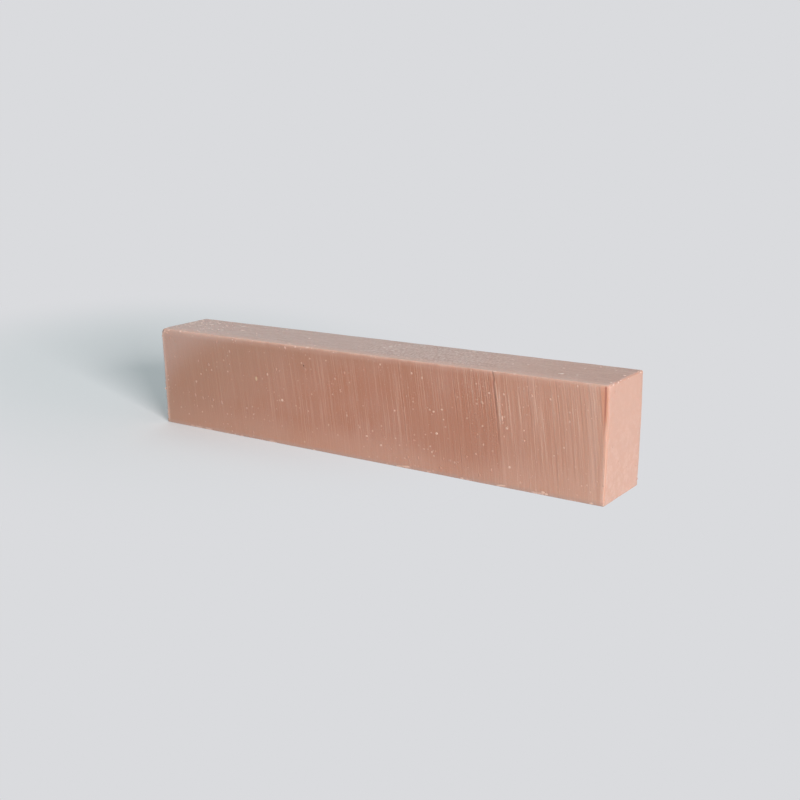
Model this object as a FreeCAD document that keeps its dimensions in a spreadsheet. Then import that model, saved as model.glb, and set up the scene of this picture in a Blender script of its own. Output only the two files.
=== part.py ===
# A long bar of handmade soap, sold whole to be sliced into cakes.
#
# It is one solid. A wire frame cut it from a slab: the two long sides and the two ends are wire cuts,
# and the top and the foot are the faces of the slab. The wire pulled grits and dried crumbs down the
# front, which left drag marks that lean towards the right end. Two of them are deep. Both ends lean a
# little to the right, because the wire stood askew, and the top corner at the left end of the front is
# broken.
#
# +X runs along the bar to its right end, +Y from the front to the back, +Z up. The origin is at the
# middle of the foot, which the bar stands on. All sizes are in millimetres.

import FreeCAD
import Part
import Sketcher

import os

BODY_NAME = "soap_bar"
FOLDER = "parts"

# The driving sizes, each with the alias that the expressions below use.
SIZES = {
    "bar_length": 300.0,
    "bar_width": 38.5,
    "bar_height": 59.5,
    # how far the top of the left end stands back from its foot, and the foot of the right end from
    # its top
    "left_end_setback": 0.5,
    "right_end_setback": 1.6,
    # radii of the worn edges
    "upright_edge_radius": 1.6,
    "top_edge_radius": 1.1,
    "foot_edge_radius": 0.5,
    # drag marks: place is the distance from the right end at the top, and lean is the shift
    # towards the right end on the way down to the foot
    "deep_mark_place": 62.0,
    "deep_mark_breadth": 2.4,
    "deep_mark_depth": 0.6,
    "deep_mark_lean": 6.5,
    # this mark runs out of the face at its reach below the top
    "end_mark_place": 4.9,
    "end_mark_breadth": 1.8,
    "end_mark_depth": 0.5,
    "end_mark_lean": 2.6,
    "end_mark_reach": 42.0,
    # the lesser marks are alike but for their places
    "mark_breadth": 1.1,
    "mark_depth": 0.25,
    "mark_lean": 5.8,
    "first_place": 14.0,
    "second_place": 23.5,
    "third_place": 28.2,
    "fourth_place": 43.8,
    "fifth_place": 71.7,
    "sixth_place": 87.0,
    "seventh_place": 121.2,
    "eighth_place": 248.0,
    # the broken corner: how far the break runs along the top edge, down the front and back along
    # the end
    "break_along": 3.6,
    "break_down": 2.6,
    "break_back": 2.4,
    # how far each cutting shape reaches past the face that it starts from
    "cut_clearance": 2.0,
}
LESSER_MARKS = ["first", "second", "third", "fourth", "fifth", "sixth", "seventh", "eighth"]

doc = FreeCAD.newDocument("soap")


def make_sheet():
    """The spreadsheet of driving sizes."""
    sizes = doc.addObject("Spreadsheet::Sheet", "sizes")
    for row, (alias, size) in enumerate(SIZES.items(), start=1):
        sizes.set(f"A{row}", alias)
        sizes.set(f"B{row}", str(size))
        sizes.setAlias(f"B{row}", alias)
    doc.recompute()


def value_of(text):
    """What an expression over the sheet comes to."""
    return float(body.evalExpression(text))


def bind(feature, expressions):
    """Binds properties of a feature to expressions over the sheet."""
    for name, text in expressions.items():
        feature.setExpression(name, text)


def new_sketch(name, role, height="0"):
    """A sketch on one of the body's origin planes, or at an expression's height above it."""
    sketch = body.newObject("Sketcher::SketchObject", name)
    sketch.AttachmentSupport = (next(f for f in body.Origin.OriginFeatures if f.Role == role), [""])
    sketch.MapMode = "FlatFace"
    sketch.setExpression("AttachmentOffset.Base.z", height)
    return sketch


def outline(sketch, corners):
    """A closed outline through corners, each dimensioned from the sketch's origin.

    Each corner is a pair of expressions. A line's start is its point 1 and its end is its point 2,
    and the origin is point 1 of geometry -1.
    """
    points = [FreeCAD.Vector(value_of(x), value_of(y), 0) for x, y in corners]
    lines = [
        sketch.addGeometry(Part.LineSegment(a, b)) for a, b in zip(points, points[1:] + points[:1])
    ]
    for line, following in zip(lines, lines[1:] + lines[:1]):
        sketch.addConstraint(Sketcher.Constraint("Coincident", line, 2, following, 1))
    for line, corner in zip(lines, corners):
        for kind, text in zip(["DistanceX", "DistanceY"], corner):
            number = sketch.addConstraint(Sketcher.Constraint(kind, -1, 1, line, 1, value_of(text)))
            sketch.setExpression(f"Constraints[{number}]", text)


def oblique_pocket(sketch, name, depth, direction):
    """Cuts the sketch's outline away along a direction, to a depth square to the sketch."""
    volume_before = body.Shape.Volume
    pocket = body.newObject("PartDesign::Pocket", name)
    pocket.Profile = sketch
    pocket.UseCustomVector = True
    pocket.AlongSketchNormal = True
    x, y, z = direction
    bind(pocket, {"Length": depth, "Direction.x": x, "Direction.y": y, "Direction.z": z})
    doc.recompute()
    if pocket.Shape.isNull() or pocket.Shape.Volume >= volume_before:
        raise RuntimeError(f"{name} cuts nothing")


def wire_cut_block():
    """The bar as the wire left it: the front's outline, with its leaning ends, over the whole width."""
    sketch = new_sketch("front_outline", "XZ_Plane")
    outline(
        sketch,
        [
            ("-sizes.bar_length / 2", "0"),
            ("sizes.bar_length / 2 - sizes.right_end_setback", "0"),
            ("sizes.bar_length / 2", "sizes.bar_height"),
            ("-sizes.bar_length / 2 + sizes.left_end_setback", "sizes.bar_height"),
        ],
    )
    block = body.newObject("PartDesign::Pad", "wire_cut_block")
    block.Profile = sketch
    block.Midplane = True
    bind(block, {"Length": "sizes.bar_width"})
    doc.recompute()
    return block


def worn_edges(base, name, radius, is_worn):
    """Rounds each edge of the base whose middle point and direction pass the test."""
    edges = []
    for number, edge in enumerate(base.Shape.Edges, start=1):
        middle = (edge.FirstParameter + edge.LastParameter) / 2
        if is_worn(edge.valueAt(middle), edge.tangentAt(middle)):
            edges.append(f"Edge{number}")
    fillet = body.newObject("PartDesign::Fillet", name)
    fillet.Base = (base, edges)
    bind(fillet, {"Radius": radius})
    doc.recompute()
    return fillet


def drag_mark(name, place, section, reach=None):
    """A groove from above the top to below the foot, in the face that looks forward.

    Its section is a notch that opens forward. With a reach, the notch also draws forward on its way
    down, and leaves the face at that distance below the top.
    """
    depth = f"sizes.{section}_depth"
    slope = f"(sizes.{section}_lean / sizes.bar_height)"
    forward = f"({depth} / sizes.{reach})" if reach else "0"
    middle = f"sizes.bar_length / 2 - sizes.{place} - {slope} * sizes.cut_clearance"
    bottom = f"-sizes.bar_width / 2 + {depth} + {forward} * sizes.cut_clearance"
    mouth = f"{bottom} - {depth} - sizes.cut_clearance"
    half_mouth = f"sizes.{section}_breadth / 2 * (1 + sizes.cut_clearance / {depth})"

    sketch = new_sketch(f"{name}_section", "XY_Plane", "sizes.bar_height + sizes.cut_clearance")
    outline(
        sketch,
        [(f"{middle} - {half_mouth}", mouth), (f"{middle} + {half_mouth}", mouth), (middle, bottom)],
    )
    oblique_pocket(
        sketch, name, "sizes.bar_height + 2 * sizes.cut_clearance", (slope, f"-{forward}", "-1")
    )


def broken_corner():
    """Breaks the corner off along the plane through the ends of its three edges' broken stretches.

    The triangle is that plane's line in the front, drawn out past the corner. It is cut back along
    the plane, which leaves the end at the third edge's broken stretch.
    """
    corner = "-sizes.bar_length / 2 + sizes.left_end_setback"
    above_top = "sizes.bar_height + sizes.cut_clearance"
    steepness = "(sizes.break_down / sizes.break_along)"
    outside = "(sizes.left_end_setback + sizes.cut_clearance)"
    beyond_left = f"{corner} - {outside}"
    foot_of_line = f"sizes.bar_height - sizes.break_down - {steepness} * {outside}"
    head_of_line = f"{corner} + sizes.break_along + sizes.cut_clearance / {steepness}"

    sketch = new_sketch("break_outline", "XZ_Plane", "sizes.bar_width / 2")
    outline(
        sketch,
        [(beyond_left, above_top), (beyond_left, foot_of_line), (head_of_line, above_top)],
    )
    backwards = ("-sizes.break_along", "sizes.break_back", "0")
    oblique_pocket(sketch, "broken_corner", "sizes.break_back", backwards)


def check_model():
    """Stops if any object failed, or if the body isn't one valid solid."""
    for item in doc.Objects:
        if "Invalid" in item.State or "Error" in item.State:
            raise RuntimeError(f"{item.Name} failed: {item.State}")
    shape = body.Shape
    if shape.isNull() or not shape.isValid() or len(shape.Solids) != 1:
        raise RuntimeError(f"{body.Label} isn't one valid solid")


make_sheet()
body = doc.addObject("PartDesign::Body", BODY_NAME)
body.Label = BODY_NAME

block = wire_cut_block()
top = SIZES["bar_height"]
uprights = worn_edges(
    block, "worn_uprights", "sizes.upright_edge_radius", lambda point, along: abs(along.z) > 0.5
)
upper_edges = worn_edges(
    uprights, "worn_top_edges", "sizes.top_edge_radius", lambda point, along: abs(point.z - top) < 1e-6
)
worn_edges(
    upper_edges, "worn_foot_edges", "sizes.foot_edge_radius", lambda point, along: abs(point.z) < 1e-6
)
drag_mark("deep_mark", "deep_mark_place", "deep_mark")
drag_mark("end_mark", "end_mark_place", "end_mark", "end_mark_reach")
for order in LESSER_MARKS:
    drag_mark(f"{order}_mark", f"{order}_place", "mark")
broken_corner()

check_model()
os.makedirs(FOLDER, exist_ok=True)
body.Shape.exportStep(os.path.join(FOLDER, body.Label + ".step"))
box = body.Shape.optimalBoundingBox(False)
print(f"{body.Label}: {box.XLength:.2f} x {box.YLength:.2f} x {box.ZLength:.2f} mm")
print(f"lowest corner: {box.XMin:.2f}, {box.YMin:.2f}, {box.ZMin:.2f}")
print(f"volume: {body.Shape.Volume / 1000:.2f} cm3")
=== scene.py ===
import math
from types import SimpleNamespace

import bpy
import numpy as np
from mathutils import Matrix, Vector
from mathutils.bvhtree import BVHTree


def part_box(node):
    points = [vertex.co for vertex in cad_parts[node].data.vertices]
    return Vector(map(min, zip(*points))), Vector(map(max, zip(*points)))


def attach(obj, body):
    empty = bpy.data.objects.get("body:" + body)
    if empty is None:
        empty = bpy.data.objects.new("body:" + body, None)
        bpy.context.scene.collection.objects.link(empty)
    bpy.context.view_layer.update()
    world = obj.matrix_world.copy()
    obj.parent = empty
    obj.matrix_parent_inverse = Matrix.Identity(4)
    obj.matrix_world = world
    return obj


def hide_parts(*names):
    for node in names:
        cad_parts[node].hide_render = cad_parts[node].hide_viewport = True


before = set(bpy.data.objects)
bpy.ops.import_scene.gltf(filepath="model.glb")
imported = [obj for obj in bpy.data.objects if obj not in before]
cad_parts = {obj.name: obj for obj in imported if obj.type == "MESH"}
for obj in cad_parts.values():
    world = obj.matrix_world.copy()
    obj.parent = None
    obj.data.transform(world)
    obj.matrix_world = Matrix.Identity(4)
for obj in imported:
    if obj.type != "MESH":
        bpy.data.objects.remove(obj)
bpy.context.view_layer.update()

# The camera
# It stands off the right end, a little above the top, and looks down at the front. Its place and turns
# are those at which the bar's corners fall where the photograph has them.
camera_place = (0.3661, -0.4781, 0.1823)
camera_turn = math.radians(36.17)
camera_drop = math.radians(14.31)
camera_roll = math.radians(-1.47)

camera_data = bpy.data.cameras.new("camera")
camera_data.sensor_width = 36.0
camera_data.lens = 50.27
camera_data.clip_end = 50.0
camera = bpy.data.objects.new("camera", camera_data)
camera.matrix_world = (
    Matrix.Translation(camera_place)
    @ Matrix.Rotation(camera_turn, 4, "Z")
    @ Matrix.Rotation(math.radians(90) - camera_drop, 4, "X")
    @ Matrix.Rotation(camera_roll, 4, "Z")
)
bpy.context.scene.collection.objects.link(camera)
bpy.context.scene.camera = camera


# The bar of soap
# One stick of cold-process soap, cut out of a slab with a wire and left whole. The wire went down the
# front and the back and dragged grits with it, on lines that lean and bow towards the right end. The
# skin below is a block's grid with its edges worn round and one corner broken, and the marks go on it.
mm = 0.001
low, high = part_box("soap_bar")
bar_length, bar_width, bar_height = high - low
skin_inset = Vector((0.12, 0.20, 0.14)) * mm  # room for ridges and crumbs inside the cut size
upright_radius = 1.2 * mm
side_radius = 1.0 * mm
top_radius = 0.9 * mm
foot_radius = 0.5 * mm
left_setback = 0.5 * mm  # of the left end's top from its foot
right_setback = 1.6 * mm  # of the right end's foot from its top
wire_drift = 5.8 * mm  # how far the wire drifts to the right on its way down
wire_bow = 0.33
end_bow = 1.8  # how late the right end curves back towards its foot
turning_back = 120 * mm  # this far from the middle the grid turns from the wire's lines to the ends
break_along = 4.2 * mm  # the broken corner: along the top, down the front and back along the end
break_down = 3.2 * mm
break_back = 3.0 * mm
fan_steps = 4  # grid lines over one half of a rounded edge
corner_stretch = -138 * mm  # the grid is fine from the left end to here
marks_stretch = 20 * mm  # and again from here to the right end
top_stretch = 48 * mm  # and from here up
fine_step = 0.30 * mm
coarse_step = 0.62 * mm
fine_rise = 0.75 * mm
coarse_rise = 1.9 * mm


def fanned(start, end, start_radius, end_radius, inner):
    """Grid places along one axis: fanned over each end's rounding, with the inner ones between."""
    fan = np.tan(np.radians(45) * np.arange(1, fan_steps + 1) / fan_steps)
    first = start + start_radius * (1 - fan[::-1])
    last = end - end_radius * (1 - fan)
    return np.concatenate([first, inner, last])


def spaced(start, end, step):
    """Evenly spaced places from start towards end, without the end."""
    return np.linspace(start, end, max(1, round((end - start) / step)), endpoint=False)


def bar_grid():
    """Places of the grid lines along, across and up the bar. They are closest where the marks are."""
    block_low = low + skin_inset
    block_high = high - skin_inset
    block_low.z = low.z
    along = np.concatenate(
        [
            spaced(block_low.x + upright_radius, corner_stretch, fine_step),
            spaced(corner_stretch, marks_stretch, coarse_step),
            spaced(marks_stretch, block_high.x - upright_radius, fine_step),
            [block_high.x - upright_radius],
        ]
    )
    across = np.linspace(block_low.y + side_radius, block_high.y - side_radius, 9)
    upward = np.concatenate(
        [
            spaced(foot_radius, top_stretch, coarse_rise),
            spaced(top_stretch, block_high.z - top_radius, fine_rise),
            [block_high.z - top_radius],
        ]
    )
    return (
        fanned(block_low.x, block_high.x, upright_radius, upright_radius, along),
        fanned(block_low.y, block_high.y, side_radius, side_radius, across),
        fanned(block_low.z, block_high.z, foot_radius, top_radius, upward),
    )


def wobble(place, wave):
    """A slow uneven wave between about -1 and 1, for wear that comes and goes along an edge."""
    return 0.6 * np.sin(place / wave) + 0.4 * np.sin(place / (0.37 * wave) + 1.3)


def worn_block(points):
    """Rounds the edges of the grid's block. Returns the points and the way out of the skin at each."""
    block_low = points.min(0)
    block_high = points.max(0)
    x, y, z = points.T
    wear = 1 + 0.22 * wobble(x, 7 * mm) + 0.15 * wobble(z + 3 * y, 4 * mm)
    upper = z > bar_height / 2
    heights = [0, 3 * mm, bar_height - 4.5 * mm, bar_height]
    sideways = np.interp(z, heights, [foot_radius, side_radius, side_radius, top_radius])
    vertical = np.where(upper, top_radius, foot_radius)
    radius = np.stack([upright_radius * wear, sideways * wear, vertical * wear], 1)
    core = np.clip(points, block_low + radius, block_high - radius)
    offset = (points - core) / radius
    outward = offset / np.linalg.norm(offset, axis=1, keepdims=True)
    return core + outward * radius, outward


def break_corner(points):
    """Moves what stands past the break plane back onto it. Returns the points and where it broke."""
    corner = np.array([low.x, low.y, high.z])
    legs = np.diag([break_along, break_back, -break_down])
    normal = np.cross(legs[1] - legs[0], legs[2] - legs[0])
    normal *= -np.sign(normal @ legs[0]) / np.linalg.norm(normal)
    past = (points - corner - legs[0]) @ normal
    broken = np.clip(past / (0.4 * mm), 0, 1)
    return points - np.clip(past, 0, None)[:, None] * normal, broken


def drift_down(drop):
    """How far the wire has drifted by a share of the way down."""
    return wire_drift * drop * (1 + wire_bow * (1 - drop))


def lean_with_wire(points):
    """Shifts the grid along the bar with the wire's lines, and back to each end's own lean."""
    x, _, z = points.T
    drop = np.clip(1 - z / bar_height, 0, 1)
    room = high.x - turning_back
    near_left = np.clip((-turning_back - x) / room, 0, None) ** 2
    near_right = np.clip((x - turning_back) / room, 0, None) ** 2
    at_left = near_left * (left_setback * (1 - drop) - drift_down(drop))
    at_right = near_right * (right_setback * drop**end_bow + drift_down(drop))
    leaning = points.copy()
    leaning[:, 0] = x + drift_down(drop) + at_left - at_right
    return leaning


def wire_lines(points):
    """For each point, where its wire line starts at the top, and the share of the way down."""
    x, _, z = points.T
    drop = np.clip(1 - z / bar_height, 0, 1)
    return np.stack([x - drift_down(drop), drop, np.zeros_like(x)], 1)


def skin_faces(number, places):
    """The quads of the grid block's six sides, facing outwards, and a packed texture map for them."""
    x, y, z = places
    gap = 0.012
    scale = (1 - 2 * gap) / bar_length
    rows = [bar_height, bar_height, bar_width, bar_width]
    front_row, back_row, top_row, foot_row, end_row = np.cumsum([gap] + [scale * r + gap for r in rows])
    second_end = 2 * gap + scale * bar_width
    sides = [
        (number[:, 0, :], x, z, False, (gap, front_row)),
        (number[:, -1, :], x, z, True, (gap, back_row)),
        (number[:, :, -1], x, y, False, (gap, top_row)),
        (number[:, :, 0], x, y, True, (gap, foot_row)),
        (number[0, :, :], y, z, True, (gap, end_row)),
        (number[-1, :, :], y, z, False, (second_end, end_row)),
    ]
    quads = []
    maps = []
    for sheet, along, up, turned, (left, bottom) in sides:
        corners = [(0, 0), (1, 0), (1, 1), (0, 1)]
        if turned:
            corners = corners[::-1]
        across_map = left + (along - along[0]) * scale
        up_map = bottom + (up - up[0]) * scale
        spot = np.stack(np.meshgrid(across_map, up_map, indexing="ij"), -1)
        last = (sheet.shape[0] - 1, sheet.shape[1] - 1)
        cuts = [(slice(i, i + last[0]), slice(j, j + last[1])) for i, j in corners]
        quads.append(np.stack([sheet[cut] for cut in cuts], -1).reshape(-1, 4))
        maps.append(np.stack([spot[cut] for cut in cuts], -2).reshape(-1, 2))
    return np.concatenate(quads), np.concatenate(maps)


def store(mesh, name, values):
    """Keeps one value, or one vector, for each point of the mesh under a name."""
    kind, field = ("FLOAT", "value") if values.ndim == 1 else ("FLOAT_VECTOR", "vector")
    attribute = mesh.attributes.new(name, kind, "POINT")
    attribute.data.foreach_set(field, values.astype(np.float32).ravel())


def new_piece(name, mesh):
    piece = bpy.data.objects.new(name, mesh)
    bpy.context.scene.collection.objects.link(piece)
    return piece


def bar_skin():
    """The bar's mesh, with its texture map and what the marks and the finish need to know."""
    places = bar_grid()
    on_skin = np.ones([len(p) for p in places], bool)
    on_skin[1:-1, 1:-1, 1:-1] = False
    number = np.full(on_skin.shape, -1)
    number[on_skin] = np.arange(on_skin.sum())
    points = np.stack(np.meshgrid(*places, indexing="ij"), -1)[on_skin]
    points, outward = worn_block(points)
    points, broken = break_corner(points)
    points = lean_with_wire(points)
    quads, texture_map = skin_faces(number, places)
    mesh = bpy.data.meshes.new("soap_bar_skin")
    mesh.from_pydata(points.tolist(), [], quads.tolist())
    uv = mesh.uv_layers.new(name="OFBake")
    uv.data.foreach_set("uv", texture_map.astype(np.float32).ravel())
    store(mesh, "wire_path", wire_lines(points))
    store(mesh, "front_face", np.clip(-outward[:, 1], 0, 1) ** 3 * (1 - broken))
    store(mesh, "back_face", np.clip(outward[:, 1], 0, 1) ** 3)
    store(mesh, "top_face", np.clip(outward[:, 2], 0, 1) ** 3 * (1 - broken))
    store(mesh, "right_end", np.clip(outward[:, 0], 0, 1) ** 3)
    store(mesh, "worn_edge", np.clip((1 - np.abs(outward).max(1)) / 0.29, 0, 1))
    store(mesh, "broken", broken)
    mesh.shade_smooth()
    return new_piece("cut_soap_bar", mesh)


def node(tree, kind, inputs=None, **settings):
    """Adds a node. Each input is given by name or number: a socket is linked, a value is set."""
    made = tree.nodes.new(kind)
    for name, value in settings.items():
        setattr(made, name, value)
    for key, value in (inputs or {}).items():
        if isinstance(value, bpy.types.NodeSocket):
            tree.links.new(value, made.inputs[key])
        else:
            made.inputs[key].default_value = value
    return made


def tree_of(*values):
    """The tree that the first socket among some values is in."""
    return next(value.id_data for value in values if isinstance(value, bpy.types.NodeSocket))


def maths(operation, *values):
    """One sum over sockets or numbers, and its result."""
    return node(tree_of(*values), "ShaderNodeMath", dict(enumerate(values)), operation=operation).outputs[0]


def times(*values):
    """The product of sockets and numbers."""
    product = values[0]
    for value in values[1:]:
        product = maths("MULTIPLY", product, value)
    return product


def plus(*values):
    """The sum of sockets and numbers."""
    total = values[0]
    for value in values[1:]:
        total = maths("ADD", total, value)
    return total


def vector_of(x, y, z):
    return node(tree_of(x, y, z), "ShaderNodeCombineXYZ", {0: x, 1: y, 2: z}).outputs[0]


def split(vector):
    return node(tree_of(vector), "ShaderNodeSeparateXYZ", {0: vector}).outputs


def grain(vector, size, detail=2.0, roughness=0.5):
    """Even noise around 0.5 with grains of about a given size in metres."""
    inputs = {"Vector": vector, "Scale": 0.7 / size, "Detail": detail, "Roughness": roughness}
    return node(tree_of(vector), "ShaderNodeTexNoise", inputs).outputs[0]


def ramp(value, start, end, low_value=0.0, high_value=1.0):
    """Low up to start, high from end on, and a smooth step between. Start may be above end."""
    if start > end:
        start, end, low_value, high_value = end, start, high_value, low_value
    inputs = {
        "Value": value,
        "From Min": start,
        "From Max": end,
        "To Min": low_value,
        "To Max": high_value,
    }
    return node(tree_of(value), "ShaderNodeMapRange", inputs, interpolation_type="SMOOTHSTEP").outputs[0]


def scratches(path, size, drift, side):
    """Noise in long thin streaks along the wire's lines: their breadth, and their drift over the height."""
    return grain(vector_of(path[0], times(path[1], drift), side), size, 2.0, 0.55)


def new_tree(name, inputs, outputs):
    """A node tree for geometry, with its named inputs and outputs and their group nodes."""
    tree = bpy.data.node_groups.new(name, "GeometryNodeTree")
    kinds = {
        "geometry": "NodeSocketGeometry",
        "number": "NodeSocketFloat",
        "whole": "NodeSocketInt",
        "object": "NodeSocketObject",
    }
    for name, kind in inputs.items():
        tree.interface.new_socket(name, in_out="INPUT", socket_type=kinds[kind])
    for name, kind in outputs.items():
        tree.interface.new_socket(name, in_out="OUTPUT", socket_type=kinds[kind])
    given = tree.nodes.new("NodeGroupInput").outputs
    wanted = tree.nodes.new("NodeGroupOutput").inputs
    return tree, given, wanted


def stored(tree, name, kind="FLOAT"):
    """Reads what the mesh keeps under a name."""
    inputs = {"Name": name}
    return node(tree, "GeometryNodeInputNamedAttribute", inputs, data_type=kind).outputs[0]


def keep(geometry, name, value, kind="FLOAT"):
    """Keeps a value on the points of the geometry under a name."""
    inputs = {"Geometry": geometry, "Name": name, "Value": value}
    return node(tree_of(geometry), "GeometryNodeStoreNamedAttribute", inputs, data_type=kind).outputs[0]


def within_cut_size(place):
    """A place, or the nearest one to it within the bar's cut size."""
    tree = tree_of(place)
    above = node(tree, "ShaderNodeVectorMath", {0: place, 1: low}, operation="MAXIMUM").outputs[0]
    return node(tree, "ShaderNodeVectorMath", {0: above, 1: high}, operation="MINIMUM").outputs[0]


def make_solid(piece, tree, values):
    """Runs a geometry tree on a piece with the given inputs, and keeps the result as its plain mesh."""
    modifier = piece.modifiers.new(tree.name, "NODES")
    modifier.node_group = tree
    for item in tree.interface.items_tree:
        if item.in_out == "INPUT" and item.name in values:
            modifier[item.identifier] = values[item.name]
    graph = bpy.context.evaluated_depsgraph_get()
    seen = piece.evaluated_get(graph)
    mesh = bpy.data.meshes.new_from_object(seen, preserve_all_data_layers=True, depsgraph=graph)
    piece.modifiers.remove(modifier)
    piece.data = mesh


def drag_mark_group():
    """The height of one drag mark: a furrow, and to its right the lip that the grit pushed up."""
    numbers = ["Place", "Breadth", "Depth", "Lip", "Start", "Reach", "Bow", "Lean"]
    tree, given, wanted = new_tree("drag_mark", dict.fromkeys(numbers, "number"), {"Height": "number"})
    path = split(stored(tree, "wire_path", "FLOAT_VECTOR"))
    fallen = times(path[1], bar_height)
    shake = grain(vector_of(given["Place"], fallen, 0.0), 8 * mm)
    wander = times(plus(shake, -0.5), 0.7 * mm)
    jag = grain(vector_of(given["Place"], fallen, 0.9), 3.6 * mm, 3.0, 0.6)
    jagged = times(plus(jag, -0.5), given["Depth"], 10.0)
    bowed = times(given["Bow"], path[1], maths("SUBTRACT", 1.0, path[1]), 4.0)
    leaning = times(given["Lean"], path[1])
    middle = plus(given["Place"], bowed, leaning, wander, jagged)
    off = maths("DIVIDE", maths("SUBTRACT", path[0], middle), given["Breadth"])

    def hump(centre, sharpness):
        shifted = plus(off, -centre)
        return maths("EXPONENT", times(shifted, shifted, -sharpness))

    crumbly = grain(vector_of(given["Place"], fallen, 0.3), 2.0 * mm, 3.0)
    paling = grain(vector_of(given["Place"], fallen, 0.6), 14 * mm, 1.0)
    begins = ramp(maths("SUBTRACT", path[1], given["Start"]), -0.04, 0.10)
    ends = ramp(maths("SUBTRACT", given["Reach"], path[1]), -0.10, 0.14)
    shown = times(begins, ends, ramp(paling, 0.25, 0.6, 0.35, 1.1))
    furrow = times(hump(0.0, 7.0), given["Depth"], -1.0)
    lip = times(hump(0.85, 9.0), given["Lip"], ramp(crumbly, 0.3, 0.65, 0.4, 1.2))
    tree.links.new(times(plus(furrow, lip), shown), wanted["Height"])
    return tree


# Each mark: its place at the top, how broad and deep it is and how high its lip stands, in millimetres,
# the shares of the height where it starts and ends, and how far it bows and leans beyond the lines
# around it.
drag_marks = [
    (-98.0, 1.2, 0.036, 0.03, 0.1, 0.7, 0.0, 0.0),
    (-72.6, 1.0, 0.03, 0.018, -1.0, 0.5, 0.0, 0.0),
    (5.2, 0.9, 0.042, 0.03, -1.0, 0.5, 0.0, 0.0),
    (7.4, 0.9, 0.024, 0.036, -1.0, 0.6, 0.0, 0.0),
    (12.0, 0.9, 0.036, 0.03, -1.0, 0.7, 0.0, 0.0),
    (29.2, 1.2, 0.048, 0.078, -1.0, 2.0, 0.0, 0.0),
    (31.8, 0.8, 0.036, 0.018, -1.0, 0.4, 0.0, 0.0),
    (53.0, 0.8, 0.072, 0.048, -1.0, 0.4, 0.0, 0.0),
    (63.0, 0.9, 0.09, 0.066, -1.0, 0.9, -0.3, 0.3),
    (68.0, 0.8, 0.03, 0.054, -1.0, 0.55, 0.0, 0.0),
    (73.5, 0.8, 0.06, 0.048, -1.0, 0.45, 0.0, 0.0),
    (75.8, 0.9, 0.036, 0.06, -1.0, 0.4, 0.0, 0.0),
    (78.3, 0.8, 0.078, 0.048, 0.02, 0.55, 0.0, 0.0),
    (81.4, 0.9, 0.066, 0.048, 0.05, 0.6, 0.0, 0.0),
    (84.0, 0.8, 0.072, 0.054, -1.0, 0.45, 0.0, 0.0),
    (87.0, 1.4, 0.22, 0.06, -1.0, 0.34, 0.0, -0.4),
    (87.0, 1.1, 0.15, 0.02, 0.2, 0.65, 0.0, -0.4),
    (88.8, 1.2, -0.03, 0.09, 0.15, 0.60, 0.0, -0.6),
    (94.0, 0.8, 0.024, 0.036, 0.1, 0.4, 0.0, 0.0),
    (103.8, 0.8, 0.03, 0.048, -1.0, 0.6, 0.0, 0.0),
    (106.3, 0.9, 0.084, 0.036, -1.0, 0.6, 0.0, 0.0),
    (109.6, 1.2, 0.03, 0.036, -1.0, 0.7, 0.0, 0.0),
    (118.4, 1.2, 0.06, 0.066, 0.02, 0.95, 0.0, 0.0),
    (121.8, 0.8, 0.066, 0.03, -1.0, 0.5, 0.0, 0.0),
    (126.3, 1.1, 0.09, 0.048, -1.0, 0.8, 0.4, 1.2),
    (133.8, 1.0, 0.03, 0.048, 0.05, 0.6, 0.0, 0.0),
    (138.6, 1.4, 0.06, 0.018, -1.0, 0.8, 0.0, 0.0),
    (144.4, 1.0, 0.09, 0.0, -1.0, 0.60, 0.0, -2.2),
]
# The strip between the last mark and the right end slopes away from the front.
end_strip_breadth = 5.1 * mm  # at the top, from the right end
end_strip_narrowing = 5.4 * mm  # over the height
end_strip_slope = 0.05


def short_of_end(spot, drop):
    """How far a point lies from the right end's line."""
    set_back = times(maths("POWER", drop, end_bow), -right_setback)
    return maths("SUBTRACT", plus(set_back, high.x), split(spot)[0])


def end_strip(spot, drop):
    """How far a point lies within the strip beside the right end, and 0 left of it."""
    breadth = plus(end_strip_breadth, times(drop, -end_strip_narrowing))
    within = maths("SUBTRACT", breadth, short_of_end(spot, drop))
    return maths("MAXIMUM", within, 0.0)


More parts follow.
